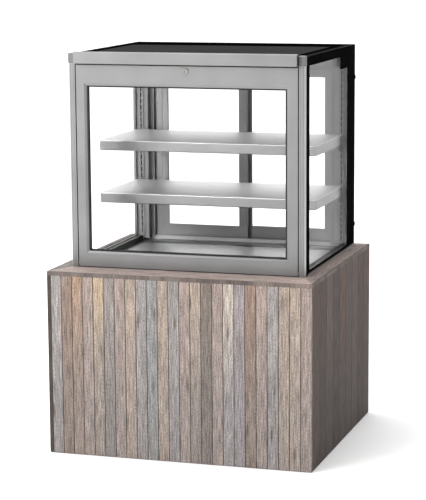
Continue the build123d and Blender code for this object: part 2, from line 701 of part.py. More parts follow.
def controls():
    """Rear control panel, rocker switch for the light and two thermostat buttons."""
    y0 = CASE_REAR - 0.5
    z = PANEL_MID_Z
    panel = block(-105, 105, y0, y0 + 2, z - 25, z + 25)
    panel = chamfer(panel.edges().group_by(Axis.Y)[-1], 0.8)
    panel -= block(SWITCH_X - 7.5, SWITCH_X + 7.5, y0 - 1, y0 + 3, z - 12, z + 12)
    panel += block(-80, -8, y0 + 1, y0 + 4, z - 14, z + 14)
    panel -= block(-74, -14, y0 + 3.2, y0 + 5, z - 9, z + 9)
    for x in BUTTON_XS.values():
        panel -= rod_y(x, z, 4.3, y0 - 1, y0 + 3)
    pivot_y = y0 - 3
    for ear_x in (SWITCH_X - 10.5, SWITCH_X + 7.5):
        panel += block(ear_x, ear_x + 3, y0 - 7, y0 + 0.5, z - 5, z + 5)
    panel -= rod_x(pivot_y, z, ROCKER_BORE_R, SWITCH_X - 11, SWITCH_X + 11)
    write("control_panel", panel)

    outline = [
        (pivot_y - 5, z - 6),
        (pivot_y + 4, z - 9.5),
        (pivot_y + 6, z),
        (pivot_y + 8, z + 9),
        (pivot_y - 5, z + 6),
    ]
    rocker = along_x(outline, SWITCH_X - 6.7, SWITCH_X + 6.7)
    rocker += rod_x(pivot_y, z, ROCKER_PIN_R, SWITCH_X - 10.4, SWITCH_X + 10.4)
    write("light_switch", rocker)
    for name, x in BUTTON_XS.items():
        button = rod_y(x, z, 4.0, y0 - 4, y0 + 3.6)
        button = fillet(button.edges().group_by(Axis.Y)[-1], 0.8)
        button += rod_y(x, z, 5.6, y0 - 5.5, y0 - 3.5)
        write("button_" + name, button)


os.makedirs("parts", exist_ok=True)
counter()
base_tub()
deck()
base_rails()
case_frame()
shelves()
front_door()
rear_doors()
evaporator()
condensing_unit()
controls()
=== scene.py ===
# %% [markdown]
# # A refrigerated bakery case on a plank-clad counter
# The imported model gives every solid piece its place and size. This lesson loads it, lights it, and then
# gives each piece the finish of its real material. The thin printed, glued and screwed pieces that sit on
# the solid ones are modelled here.

# %% Load the frame
import bpy
import bmesh
import math
from mathutils import Matrix, Vector


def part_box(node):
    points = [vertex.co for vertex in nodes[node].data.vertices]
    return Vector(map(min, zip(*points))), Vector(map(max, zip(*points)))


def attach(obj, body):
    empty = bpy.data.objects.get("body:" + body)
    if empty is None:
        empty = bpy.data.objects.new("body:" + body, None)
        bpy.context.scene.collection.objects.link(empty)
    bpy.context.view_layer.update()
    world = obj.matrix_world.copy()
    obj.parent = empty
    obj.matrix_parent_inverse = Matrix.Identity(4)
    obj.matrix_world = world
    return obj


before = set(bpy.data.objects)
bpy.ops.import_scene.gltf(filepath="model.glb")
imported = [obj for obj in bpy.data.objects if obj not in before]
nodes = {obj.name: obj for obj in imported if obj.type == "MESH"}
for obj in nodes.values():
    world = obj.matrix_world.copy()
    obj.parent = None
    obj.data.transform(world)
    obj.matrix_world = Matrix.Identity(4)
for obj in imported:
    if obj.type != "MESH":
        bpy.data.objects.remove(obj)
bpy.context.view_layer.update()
print("pieces in the frame:", len(nodes))

# %% [markdown]
# ## Colours
# A colour picked on a screen is an sRGB hex value, but shaders add up light, so they need linear numbers.
# One function does the change, and every colour below passes through it.

# %% Hex to linear
def linear(hex_colour):
    parts = [int(hex_colour[i:i + 2], 16) / 255 for i in (1, 3, 5)]
    return [c / 12.92 if c <= 0.04045 else ((c + 0.055) / 1.055) ** 2.4 for c in parts] + [1.0]


print("mid grey is", [round(c, 3) for c in linear("#808080")])

# %% [markdown]
# ## Camera
# A long lens from far off keeps the case's upright edges nearly parallel. The camera's place is given, and
# its turn is worked out from three angles: how far round, how far up, and a slight roll. A camera looks along
# its own -Z, so the matrix's third column is the opposite of the viewing direction.

# %% Place the camera
turn = math.radians(17.446)
rise = math.radians(9.527)
roll = math.radians(-0.388)
camera_place = Vector((2.2083, -7.0432, 1.9676))
lens_mm = 138.1
sensor_mm = 36
far_limit = 400
ahead = Vector((-math.sin(turn) * math.cos(rise), math.cos(turn) * math.cos(rise), -math.sin(rise)))
side = ahead.cross(Vector((0, 0, 1))).normalized()
over = side.cross(ahead)
right = side * math.cos(roll) + over * math.sin(roll)
up = over * math.cos(roll) - side * math.sin(roll)
lens_data = bpy.data.cameras.new("long_lens")
lens_data.sensor_fit = "VERTICAL"
lens_data.sensor_height = sensor_mm
lens_data.lens = lens_mm
lens_data.clip_end = far_limit
camera = bpy.data.objects.new("camera", lens_data)
bpy.context.scene.collection.objects.link(camera)
columns = Matrix((right, up, -ahead)).transposed().to_4x4()
camera.matrix_world = Matrix.Translation(camera_place) @ columns
bpy.context.scene.camera = camera
print("camera stands at", [round(v, 3) for v in camera_place])

# %% [markdown]
# ## Adding nodes
# A material is a small net of nodes. It could be clicked together by hand, but a script can be read and run
# again. One function adds a node, sets its options, and fills each input with either a number or another
# node's output.

# %% One function for every node
def add(tree, kind, options=None, inputs=None):
    made = tree.nodes.new(kind)
    for name, value in (options or {}).items():
        setattr(made, name, value)
    for name, value in (inputs or {}).items():
        if isinstance(value, bpy.types.NodeSocket):
            tree.links.new(value, made.inputs[name])
        else:
            made.inputs[name].default_value = value
    return made


# %% [markdown]
# ## Studio light
# Soft light comes from all round. It is bright overhead, so that the floor reads white, and bright behind, so
# that level metal such as a shelf mirrors a pale wall. It is dimmest to the right, so that the right side
# falls darker. Lamps alone could do it, but a graded sky has no hard edges to mirror. Colours are shown
# without a film curve, so a finish stays close to its hex value.

# %% Sky
bpy.context.scene.view_settings.view_transform = "Standard"
world = bpy.data.worlds.new("soft_studio")
bpy.context.scene.world = world
world.use_nodes = True
sky = world.node_tree
sky.nodes.clear()
direction = add(sky, "ShaderNodeTexCoord")
split = add(sky, "ShaderNodeSeparateXYZ", inputs={0: direction.outputs["Generated"]})
overhead = add(sky, "ShaderNodeMapRange", {"interpolation_type": "SMOOTHSTEP"},
               {"Value": split.outputs["Z"], "From Min": 0.15, "From Max": 0.95,
                "To Min": 0.30, "To Max": 2.3})
leftward = add(sky, "ShaderNodeMapRange", {"interpolation_type": "SMOOTHSTEP"},
               {"Value": split.outputs["X"], "From Min": -0.5, "From Max": 0.7,
                "To Min": 1.15, "To Max": 0.45})
behind = add(sky, "ShaderNodeMapRange", {"interpolation_type": "SMOOTHSTEP"},
             {"Value": split.outputs["Y"], "From Min": 0.45, "From Max": 0.95,
              "To Min": 0.0, "To Max": 0.95})
graded = add(sky, "ShaderNodeMath", {"operation": "MULTIPLY_ADD"},
             {0: overhead.outputs[0], 1: leftward.outputs[0], 2: behind.outputs[0]})
glow = add(sky, "ShaderNodeBackground", inputs={"Color": (1, 1, 1, 1), "Strength": graded.outputs[0]})
add(sky, "ShaderNodeOutputWorld", inputs={"Surface": glow.outputs[0]})
print("sky parts:", len(sky.nodes))

# %% [markdown]
# ## Lamp and floor
# A large round lamp from the front left lights the front and the left, and its size keeps the shadow's edge
# soft. The floor is matt white paint, rough enough to mirror nothing, so it shows only that shadow. It is so
# wide that its far edge lies outside the camera's view.

# %% Lamp and floor
lamp_place = Vector((-3.2, -5.0, 3.6))
lamp_target = Vector((0, 0, 0.8))
lamp_data = bpy.data.lights.new("front_lamp", "AREA")
lamp_data.shape = "DISK"
lamp_data.size = 3.5
lamp_data.energy = 230
lamp = bpy.data.objects.new("front_lamp", lamp_data)
bpy.context.scene.collection.objects.link(lamp)
lamp.location = lamp_place
lamp.rotation_euler = (lamp_target - lamp_place).to_track_quat("-Z", "Y").to_euler()

floor_width = 170
bpy.ops.object.select_all(action="DESELECT")
bpy.ops.mesh.primitive_plane_add(size=floor_width, location=(0, 0, -0.0005))
floor = bpy.context.object
floor.name = "studio_floor"
floor_paint = bpy.data.materials.new("matt_white_floor_paint")
floor_paint.use_nodes = True
floor_shader = floor_paint.node_tree.nodes["Principled BSDF"]
floor_shader.inputs["Base Color"].default_value = linear("#ffffff")
floor_shader.inputs["Roughness"].default_value = 0.9
floor.data.materials.append(floor_paint)
print("one lamp, and a floor", floor_width, "m wide")

# %% [markdown]
# ## Starting a material
# Each finish starts the same way: an empty net, one Principled shader and the output. What is the same all
# over the surface, such as how metallic it is, is set on the shader itself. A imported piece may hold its
# material on its mesh or on the object, so a finish is put in both places.

# %% Shader and coordinates
def start(name, metallic, roughness, ior=None):
    material = bpy.data.materials.new(name)
    material.use_nodes = True
    tree = material.node_tree
    tree.nodes.clear()
    shader = add(tree, "ShaderNodeBsdfPrincipled")
    shader.inputs["Metallic"].default_value = metallic
    shader.inputs["Roughness"].default_value = roughness
    if ior is not None:
        shader.inputs["IOR"].default_value = ior
    add(tree, "ShaderNodeOutputMaterial", inputs={"Surface": shader.outputs[0]})
    return material, tree, shader


def wear(material, *names):
    for name in names:
        nodes[name].data.materials.clear()
        nodes[name].data.materials.append(material)
        for slot in nodes[name].material_slots:
            slot.material = material
    print(material.name, "on", len(names), "pieces")


# %% [markdown]
# ## Satin metal
# Extruded and rolled metals carry fine lines along the way they were drawn. They could be modelled, painted,
# or made by noise that is stretched along that way, which is lightest and works on any length. A real line
# is a few hundredths of a millimetre wide, too fine to show here, so the lines are drawn at about one
# millimetre. A slow cloud of the same noise keeps a long rail from looking like one flat grey.

# %% A drawn or brushed metal
line_stretch = 90


def drawn_metal(name, dark, light, along, roughness, line_mm=1.2, cloud_mm=160):
    material, tree, shader = start(name, 1.0, roughness)
    where = add(tree, "ShaderNodeTexCoord").outputs["Object"]
    scale = [1000 / line_mm] * 3
    scale["XYZ".index(along)] /= line_stretch
    stretched = add(tree, "ShaderNodeMapping", inputs={"Vector": where, "Scale": scale})
    lines = add(tree, "ShaderNodeTexNoise",
                inputs={"Vector": stretched.outputs[0], "Scale": 1.0, "Detail": 3.0}).outputs[0]
    cloud = add(tree, "ShaderNodeTexNoise",
                inputs={"Vector": where, "Scale": 1000 / cloud_mm, "Detail": 2.0}).outputs[0]
    both = add(tree, "ShaderNodeMath", {"operation": "MULTIPLY_ADD"}, {0: lines, 1: 0.45, 2: cloud})
    share = add(tree, "ShaderNodeMapRange", inputs={0: both.outputs[0], 1: 0.45, 2: 1.0})
    colour = add(tree, "ShaderNodeMix", {"data_type": "RGBA"},
                 {0: share.outputs[0], 6: linear(dark), 7: linear(light)})
    rough = add(tree, "ShaderNodeMapRange",
                inputs={0: lines, 1: 0.3, 2: 0.7, 3: roughness - 0.06, 4: roughness + 0.08})
    raised = add(tree, "ShaderNodeBump", inputs={"Height": lines, "Distance": 0.00005, "Strength": 0.12})
    tree.links.new(colour.outputs[2], shader.inputs["Base Color"])
    tree.links.new(rough.outputs[0], shader.inputs["Roughness"])
    tree.links.new(raised.outputs[0], shader.inputs["Normal"])
    print("metal:", name)
    return material


# %% [markdown]
# ## Anodised frame
# The frame is extruded aluminium, etched matt and clear anodised. The etch spreads every highlight, so a rail
# reads as one even grey that is lighter where it faces the lamp. Each direction of extrusion has a material
# of its own, so that the die lines always follow the bar. The rails along the top sides are anodised black,
# so they sink into the dark glass beside them. The corner caps are satin cast zinc, a little darker and
# coarser than the extrusions.

# %% Front frame
upright = drawn_metal("satin_anodised_aluminium_upright", "#838383", "#8f8f8f", "Z", 0.46)
level = drawn_metal("satin_anodised_aluminium_level", "#848484", "#909090", "X", 0.46)
post_metal = drawn_metal("satin_anodised_aluminium_front_post", "#858585", "#929292", "Z", 0.46)
door_level = drawn_metal("satin_anodised_aluminium_door_rail", "#848484", "#909090", "X", 0.46)
lengthways = drawn_metal("black_anodised_aluminium_lengthways", "#1c1c1c", "#242424", "Y", 0.5)
corner = drawn_metal("satin_cast_zinc_corner_cap", "#6f6f6f", "#7a7a7a", "Z", 0.5, line_mm=2.0)
wear(upright, "front_door_left_stile", "front_door_right_stile")
wear(post_metal, "front_post_left", "front_post_right")
wear(level, "front_header")
wear(door_level, "front_door_top_rail", "front_door_bottom_rail")
wear(lengthways, "side_top_rail_left", "side_top_rail_right")
wear(corner, "post_caps")

# %% [markdown]
# ## A second tone in one region
# Some pieces carry a region of painted light and shade. The front posts' outer corners carry a painted
# highlight, and the strip of the door's bottom rail beside the glass is painted darker as painted shade. A
# region could be cut as its own mesh, but the colour changes with no step, so a range along one or two axes
# picks it out and a second colour is laid over the first there. X is measured from the middle either way,
# because the case is the same on both sides.

# %% Tint a region
def tint(material, colour, **ranges):
    tree = material.node_tree
    shader = tree.nodes["Principled BSDF"]
    first = shader.inputs["Base Color"].links[0].from_socket
    where = add(tree, "ShaderNodeTexCoord").outputs["Object"]
    split = add(tree, "ShaderNodeSeparateXYZ", inputs={0: where})
    share = 1.0
    for axis, (low, high) in ranges.items():
        value = split.outputs[axis]
        if axis == "X":
            value = add(tree, "ShaderNodeMath", {"operation": "ABSOLUTE"}, {0: value}).outputs[0]
        near = add(tree, "ShaderNodeMath", {"operation": "COMPARE"},
                   {0: value, 1: (low + high) / 2, 2: (high - low) / 2}).outputs[0]
        share = add(tree, "ShaderNodeMath", {"operation": "MULTIPLY"}, {0: near, 1: share}).outputs[0]
    mixed = add(tree, "ShaderNodeMix", {"data_type": "RGBA"}, {0: share, 6: first, 7: linear(colour)})
    tree.links.new(mixed.outputs[2], shader.inputs["Base Color"])
    print("tinted", material.name, "along", list(ranges))


post_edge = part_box("front_post_right")[1].x
painted_highlight_width = 0.0035
# Painted highlight: a pale band down the outer edge of each front post.
tint(post_metal, "#b4b4b4", X=(post_edge - painted_highlight_width, post_edge + 0.001))
opening_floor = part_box("front_door_glass")[0].z
# Painted shade: a darker band on the bottom rail beside the glass, which dulls the bevel's bright reflection.
tint(door_level, "#6c6c6c", Z=(opening_floor - 0.004, opening_floor + 0.0075))

# %% [markdown]
# ## Rear doors and their tracks
# The sliding doors and their tracks are the same kind of extrusion. Doors that are slid all day lose their
# satin, so this metal is rougher, and its highlight is wider and duller than at the front.

# %% Rear doors and tracks
grey_upright = drawn_metal("grey_anodised_aluminium_upright", "#868686", "#929292", "Z", 0.52)
grey_level = drawn_metal("grey_anodised_aluminium_level", "#808080", "#8c8c8c", "X", 0.52)
wear(grey_upright, "rear_left_door_frame", "rear_right_door_frame")
wear(grey_level, "rear_lower_track", "rear_upper_track")

# %% [markdown]
# ## Stainless deck and liner
# The deck and the tub are cold-rolled stainless sheet with a brushed finish, which gives a soft, slightly
# streaked mirror. Below the deck the tub is painted near black as painted shade, so that the space under the
# grille reads dark. One range along Z, from the tub's floor to the deck, lays on this painted shade.

# %% Stainless sheet
deck_sheet = drawn_metal("satin_stainless_deck_sheet", "#adadad", "#bbbbbb", "X", 0.42, cloud_mm=240)
liner = drawn_metal("satin_stainless_liner", "#b4b4b4", "#c2c2c2", "X", 0.42)
wear(deck_sheet, "deck_pan")
deck_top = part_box("deck_pan")[1].z
tub_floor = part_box("base_tub")[0].z
# Painted shade: the tub is near black from its floor up to the deck.
tint(liner, "#040404", Z=(tub_floor - 0.001, deck_top - 0.001))
wear(liner, "base_tub")

# %% [markdown]
# ## Slotted grille
# The grille is the same stainless sheet, a little duller where hands lift it. The sides of its slots are
# coloured near black as painted shade, so that each slot reads as a dark line even where light falls into it.
# A repeating range along X, one slot in every 10 mm, gives the slots' sides this second colour.

# %% Slots in painted shade
grille_sheet = drawn_metal("satin_stainless_grille_sheet", "#a8a8a8", "#b6b6b6", "X", 0.5, cloud_mm=240)
grille_low, grille_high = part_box("deck_grille")
slot_pitch = 0.010
slot_width = 0.0053
row_middle = (grille_low.y + grille_high.y + 0.002) / 2
row_half = 0.0273
tree = grille_sheet.node_tree
shader = tree.nodes["Principled BSDF"]
where = add(tree, "ShaderNodeTexCoord").outputs["Object"]
split = add(tree, "ShaderNodeSeparateXYZ", inputs={0: where})
turns = add(tree, "ShaderNodeMath", {"operation": "DIVIDE"}, {0: split.outputs["X"], 1: slot_pitch})
across = add(tree, "ShaderNodeMath", {"operation": "FRACT"}, {0: turns.outputs[0]})
in_slot = add(tree, "ShaderNodeMath", {"operation": "COMPARE"},
              {0: across.outputs[0], 1: 0.5, 2: slot_width / slot_pitch / 2})
in_row = add(tree, "ShaderNodeMath", {"operation": "COMPARE"},
             {0: split.outputs["Y"], 1: row_middle, 2: row_half})
# Painted shade: near black on the slots' sides, in the row of slots only.
painted_shade_share = add(tree, "ShaderNodeMath", {"operation": "MULTIPLY"},
                  {0: in_slot.outputs[0], 1: in_row.outputs[0]})
steel = shader.inputs["Base Color"].links[0].from_socket
mixed = add(tree, "ShaderNodeMix", {"data_type": "RGBA"},
            {0: painted_shade_share.outputs[0], 6: steel, 7: linear("#050505")})
tree.links.new(mixed.outputs[2], shader.inputs["Base Color"])
wear(grille_sheet, "deck_grille")
print("slots painted every %.0f mm" % (1000 * slot_pitch))

# %% [markdown]
# ## Plated lock
# The lock's housing and cylinder are plated with nickel. The plate is smoother than the anodised rail and
# slightly warm, so the lock shows as a small glint. The panel screws at the back have the same plate.

# %% Nickel plate
nickel = drawn_metal("nickel_plated_lock", "#858480", "#93928e", "X", 0.40, line_mm=0.6, cloud_mm=20)
wear(nickel, "front_door_lock", "lock_cylinder")

# %% [markdown]
# ## Paint, plastic and rubber
# Powder coat has a fine orange-peel skin, moulded plastic a spark-eroded grain, and rubber a dull bloom. The
# skins could each have a net of their own, but they differ only in size, depth and gloss, so one function
# makes them all: non-metals with small bumps, a little change of shade, and roughness that follows the bumps.

# %% A coated or moulded surface
def skin(name, dark, light, roughness, grain_mm, depth_mm):
    material, tree, shader = start(name, 0.0, roughness, 1.5)
    where = add(tree, "ShaderNodeTexCoord").outputs["Object"]
    grain = add(tree, "ShaderNodeTexNoise",
                inputs={"Vector": where, "Scale": 1000 / grain_mm, "Detail": 2.0}).outputs[0]
    cloud = add(tree, "ShaderNodeTexNoise", inputs={"Vector": where, "Scale": 9.0, "Detail": 3.0})
    share = add(tree, "ShaderNodeMapRange", inputs={0: cloud.outputs[0], 1: 0.3, 2: 0.7})
    colour = add(tree, "ShaderNodeMix", {"data_type": "RGBA"},
                 {0: share.outputs[0], 6: linear(dark), 7: linear(light)})
    rough = add(tree, "ShaderNodeMapRange",
                inputs={0: grain, 1: 0.3, 2: 0.7, 3: roughness - 0.05, 4: roughness + 0.07})
    raised = add(tree, "ShaderNodeBump",
                 inputs={"Height": grain, "Distance": depth_mm / 1000, "Strength": 0.4})
    tree.links.new(colour.outputs[2], shader.inputs["Base Color"])
    tree.links.new(rough.outputs[0], shader.inputs["Roughness"])
    tree.links.new(raised.outputs[0], shader.inputs["Normal"])
    print("skin:", name)
    return material


# %% [markdown]
# ## Folded stainless shelves
# Each shelf is one folded sheet of satin stainless. Its fronts keep the dull grey of the mill. Its top is
# painted much paler, a painted reflection of the pale room behind, and the upper part of the fold is painted
# nearly as pale. Both bands follow each shelf's own height.

# %% Shelves
painted_reflection_depth = 0.0008
fold_depth = 0.0034
for shelf_name in ("upper_shelf", "lower_shelf"):
    shelf_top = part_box(shelf_name)[1].z
    shelf_sheet = drawn_metal("satin_stainless_" + shelf_name, "#848484", "#8e8e8e", "X", 0.50, cloud_mm=240)
    # Painted reflection: a pale band on the top, and one nearly as pale on the upper part of the fold.
    tint(shelf_sheet, "#d2d2d2", Z=(shelf_top - painted_reflection_depth, shelf_top + 0.001))
    tint(shelf_sheet, "#c8c8c8", Z=(shelf_top - fold_depth, shelf_top - painted_reflection_depth - 0.0001))
    wear(shelf_sheet, shelf_name)

# %% [markdown]
# ## Powder-coated sheet
# The rear posts, the slotted uprights, the canopy, the louvred panel and the shelf brackets are coated. A
# powder coat is baked plastic, which hides the metal and shows as an even grey with a faint orange peel. It
# mirrors little, so the posts look alike on both sides. The posts' hollows are painted near black as painted
# shade, and show through the slots.

# %% Powder coats
canopy_coat = skin("grey_powder_coat", "#7c7c7c", "#888888", 0.5, 1.5, 0.05)
louvre_coat = skin("dark_grey_powder_coat", "#58585a", "#636365", 0.5, 1.5, 0.05)
bracket_coat = skin("charcoal_powder_coat", "#4c4c4c", "#585858", 0.5, 1.5, 0.05)
rear_post_coat = skin("mid_grey_powder_coat_post", "#7d7d7d", "#858585", 0.55, 1.5, 0.04)
strip_coat = skin("mid_grey_powder_coat_upright", "#7a7a7a", "#828282", 0.55, 1.5, 0.04)
rear_low, rear_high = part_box("rear_post_right")
rear_wall = 0.0055
chamber_side = rear_low.x + 0.0245
# Painted shade: the hollow chamber inside each rear post is near black.
tint(rear_post_coat, "#040404", X=(chamber_side, rear_high.x - rear_wall),
     Y=(rear_low.y + 0.0003, rear_high.y - rear_wall))
wear(rear_post_coat, "rear_post_left", "rear_post_right")
wear(strip_coat, "shelf_standard_left", "shelf_standard_right")
wear(canopy_coat, "top_canopy")
wear(louvre_coat, "rear_louvre_panel")
wear(bracket_coat, "upper_shelf_brackets", "lower_shelf_brackets")

# %% [markdown]
# ## Machine finishes
# The condensing unit is black stove enamel, smooth and a little glossy. The coil is dipped in black epoxy
# against acid fumes from food. Its dull black is also painted shade, which keeps the space under the
# grille dark.

# %% Enamel and epoxy
enamel = skin("black_enamel", "#18181a", "#232325", 0.35, 3.0, 0.05)
coil_epoxy_and_shade = skin("black_epoxy_coil_dip", "#0c0c0d", "#141415", 0.6, 2.0, 0.05)
wear(enamel, "condensing_unit")
wear(coil_epoxy_and_shade, "evaporator_coil")

# %% [markdown]
# ## Plastics and rubber
# Moulded ABS and polypropylene carry the spark-eroded grain of their tool, which breaks up a highlight. The
# glazing channel is extruded PVC, smoother and a touch glossier. The door gasket is extruded EPDM, which
# dries to a dull, dusty black.

# %% Plastics and rubber
channel = skin("charcoal_pvc_channel", "#2c2c2c", "#383838", 0.5, 1.2, 0.03)
moulded = skin("moulded_black_abs", "#131313", "#1d1d1d", 0.45, 1.0, 0.04)
fan_moulded = skin("moulded_fan_polypropylene", "#18181a", "#222224", 0.5, 1.0, 0.04)
grey_moulded = skin("moulded_grey_abs", "#6c6e70", "#787a7c", 0.45, 1.0, 0.04)
gasket = skin("extruded_epdm_rubber", "#161616", "#212121", 0.72, 0.9, 0.04)
wear(channel, "base_rail_left", "base_rail_right")
wear(moulded, "control_panel", "light_switch")
wear(fan_moulded, "evaporator_fan", "condenser_fan")
wear(grey_moulded, "button_up", "button_down")
wear(gasket, "front_door_gaskets")

# %% [markdown]
# ## Opal lamp diffuser
# A frosted acrylic cover over a strip of lamps glows evenly. It is a white non-metal with a little light of
# its own, and a fine frosting that keeps the glow from looking like a flat panel.

# %% The lamp
diffuser, tree, shader = start("frosted_opal_acrylic", 0.0, 0.5, 1.49)
where = add(tree, "ShaderNodeTexCoord").outputs["Object"]
frost = add(tree, "ShaderNodeTexNoise", inputs={"Vector": where, "Scale": 700.0, "Detail": 2.0}).outputs[0]
milk = add(tree, "ShaderNodeMix", {"data_type": "RGBA"},
           {0: frost, 6: linear("#e6e6e0"), 7: linear("#f6f6f2")})
raised = add(tree, "ShaderNodeBump", inputs={"Height": frost, "Distance": 0.00005, "Strength": 0.3})
tree.links.new(milk.outputs[2], shader.inputs["Base Color"])
tree.links.new(raised.outputs[0], shader.inputs["Normal"])
shader.inputs["Emission Color"].default_value = linear("#fffaf0")
shader.inputs["Emission Strength"].default_value = 0.5
wear(diffuser, "header_lamp")

# %% [markdown]
# ## Float glass
# These panes are low-iron glass with an anti-reflective coat, so they show almost no tint and little gloss.
# Bare glass has an IOR of 1.52, and the coat is stood in for by a far lower one, 1.03, because the shader has
# no coat that takes gloss away. Light should pass through the panes, so a light-path switch lets shadow rays
# by. Faint wiping marks show that there is glass at all.

# %% Clear panes
pane, tree, shader = start("coated_low_iron_float_glass", 0.0, 0.0, 1.03)
shader.inputs["Transmission Weight"].default_value = 1.0
shader.inputs["Base Color"].default_value = linear("#fefefe")
where = add(tree, "ShaderNodeTexCoord").outputs["Object"]
swept = add(tree, "ShaderNodeMapping", inputs={"Vector": where, "Scale": (3, 3, 1)})
wipes = add(tree, "ShaderNodeTexNoise", inputs={"Vector": swept.outputs[0], "Scale": 4.0, "Detail": 4.0})
smear = add(tree, "ShaderNodeMapRange", inputs={0: wipes.outputs[0], 1: 0.45, 2: 0.75, 3: 0.0, 4: 0.03})
tree.links.new(smear.outputs[0], shader.inputs["Roughness"])
path = add(tree, "ShaderNodeLightPath")
clear = add(tree, "ShaderNodeBsdfTransparent", inputs={"Color": linear("#fcfcfc")})
switch = add(tree, "ShaderNodeMixShader",
             inputs={0: path.outputs["Is Shadow Ray"], 1: shader.outputs[0], 2: clear.outputs[0]})
tree.links.new(switch.outputs[0], tree.nodes["Material Output"].inputs["Surface"])
wear(pane, "side_glazing_left", "side_glazing_right", "front_door_glass",
     "rear_left_door_glass", "rear_right_door_glass")

# %% [markdown]
# ## Printed top glass
# The top is tempered glass printed in two dull inks: dark grey in the middle, and black along the sides and
# across the rear. The ink's edges are set by their distance from the glass's own edges. The print is so dull
# that the shader has no specular layer. Outside it, the glass's ground edge is a slightly paler grey.

# %% Where the prints lie
top_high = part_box("top_glass")[1]
side_print = 0.040
rear_print = 0.205
ground_edge = 0.006
printed, tree, shader = start("satin_tempered_glass_printed_dark", 0.0, 0.5, 1.5)
shader.inputs["Specular IOR Level"].default_value = 0.0
where = add(tree, "ShaderNodeTexCoord")
axes = add(tree, "ShaderNodeSeparateXYZ", inputs={0: where.outputs["Object"]})
out_x = add(tree, "ShaderNodeMath", {"operation": "ABSOLUTE"}, {0: axes.outputs["X"]}).outputs[0]
side_border = top_high.x - side_print
rear_border = top_high.y - rear_print
edge_x = add(tree, "ShaderNodeMapRange", inputs={0: out_x, 1: side_border, 2: side_border + 0.001})
edge_y = add(tree, "ShaderNodeMapRange",
             inputs={0: axes.outputs["Y"], 1: rear_border, 2: rear_border + 0.001})
black = add(tree, "ShaderNodeMath", {"operation": "MAXIMUM"}, {0: edge_x.outputs[0], 1: edge_y.outputs[0]})
print("side print %.0f mm, rear print %.0f mm" % (1000 * side_print, 1000 * rear_print))

# %% Inks, dust and the ground edge
dust = add(tree, "ShaderNodeTexNoise",
           inputs={"Vector": where.outputs["Object"], "Scale": 5.0, "Detail": 4.0}).outputs[0]
middle = add(tree, "ShaderNodeMix", {"data_type": "RGBA"},
             {0: dust, 6: linear("#303030"), 7: linear("#383838")})
inks = add(tree, "ShaderNodeMix", {"data_type": "RGBA"},
           {0: black.outputs[0], 6: middle.outputs[2], 7: linear("#060606")})
ground = add(tree, "ShaderNodeMapRange",
             inputs={0: out_x, 1: top_high.x - ground_edge, 2: top_high.x - ground_edge + 0.001})
finished = add(tree, "ShaderNodeMix", {"data_type": "RGBA"},
               {0: ground.outputs[0], 6: inks.outputs[2], 7: linear("#2c2c2c")})
tree.links.new(finished.outputs[2], shader.inputs["Base Color"])
rough = add(tree, "ShaderNodeMapRange", inputs={0: dust, 1: 0.3, 2: 0.7, 3: 0.44, 4: 0.56})
tree.links.new(rough.outputs[0], shader.inputs["Roughness"])
wear(printed, "top_glass")

# %% [markdown]
# ## Weathered boards
# The counter is clad in reclaimed boards of many colours. Each could have a material of its own, but one net
# that knows which board it is on does for all. Dividing the place across the wall by the boards' pitch gives
# each a number. The number picks a tone from a palette, and shifts the grain so that it never runs on from
# one board to the next.

# %% Palette of board tones
tones = {
    "silver": ("#a09a97", "#918c8a"), "umber": ("#937d6f", "#877970"), "amber": ("#a58b76", "#8d7f76"),
    "rose": ("#a4938a", "#968a84"), "blond": ("#b9a68d", "#938881"), "ash": ("#958c87", "#8a837f"),
    "tan": ("#aa9a8c", "#9d9086"), "slate": ("#949391", "#898887"), "fade": ("#ac9d8f", "#8a817b"),
    "dusk": ("#82776f", "#786f6a"), "chalk": ("#bcb1a6", "#959190"), "mauve": ("#9b9292", "#918a8b"),
}
front_tones = ["silver", "umber", "amber", "rose", "blond", "ash", "rose", "tan", "silver", "slate", "tan",
               "silver", "rose", "fade", "dusk", "rose", "chalk", "mauve", "umber", "rose", "silver", "tan",
               "tan", "rose"]
side_tones = ["umber", "dusk", "fade", "dusk", "amber", "ash", "rose", "dusk", "umber"]
print("tones:", len(tones), "boards across the front:", len(front_tones))

# %% Number the boards and pick their tones
shift_per_board = 3.71


def board_places(tree, across, along, start_at, pitch):
    where = add(tree, "ShaderNodeTexCoord")
    axes = add(tree, "ShaderNodeSeparateXYZ", inputs={0: where.outputs["Object"]}).outputs
    place = add(tree, "ShaderNodeMath", {"operation": "MULTIPLY_ADD"},
                {0: axes[across], 1: 1 / pitch, 2: -start_at / pitch}).outputs[0]
    number = add(tree, "ShaderNodeMath", {"operation": "FLOOR"}, {0: place}).outputs[0]
    within = add(tree, "ShaderNodeMath", {"operation": "FRACT"}, {0: place}).outputs[0]
    shifted = add(tree, "ShaderNodeMath", {"operation": "MULTIPLY_ADD"},
                  {0: number, 1: shift_per_board, 2: axes[along]})
    run = add(tree, "ShaderNodeCombineXYZ",
              inputs={0: axes[across], 1: number, 2: shifted.outputs[0]}).outputs[0]
    return axes, number, within, run


# A colour times a factor: a light stain on the front, painted shade on the sides, painted light and shade on
# the top trim.
def stained_and_shaded(colour, stain_and_shade):
    return [c * share for c, share in zip(linear(colour), stain_and_shade)] + [1.0]


def board_tones(tree, number, sequence, stain_and_shade):
    share = add(tree, "ShaderNodeMath", {"operation": "MULTIPLY_ADD"},
                {0: number, 1: 1 / len(sequence), 2: 0.5 / len(sequence)})
    picked = []
    for end in (0, 1):
        palette = add(tree, "ShaderNodeValToRGB", inputs={0: share.outputs[0]})
        ramp = palette.color_ramp
        ramp.interpolation = "CONSTANT"
        ramp.elements.remove(ramp.elements[1])
        for i, tone in enumerate(sequence):
            stop = ramp.elements[0] if i == 0 else ramp.elements.new(i / len(sequence))
            stop.color = stained_and_shaded(tones[tone][end], stain_and_shade)
        picked.append(palette.outputs[0])
    return picked


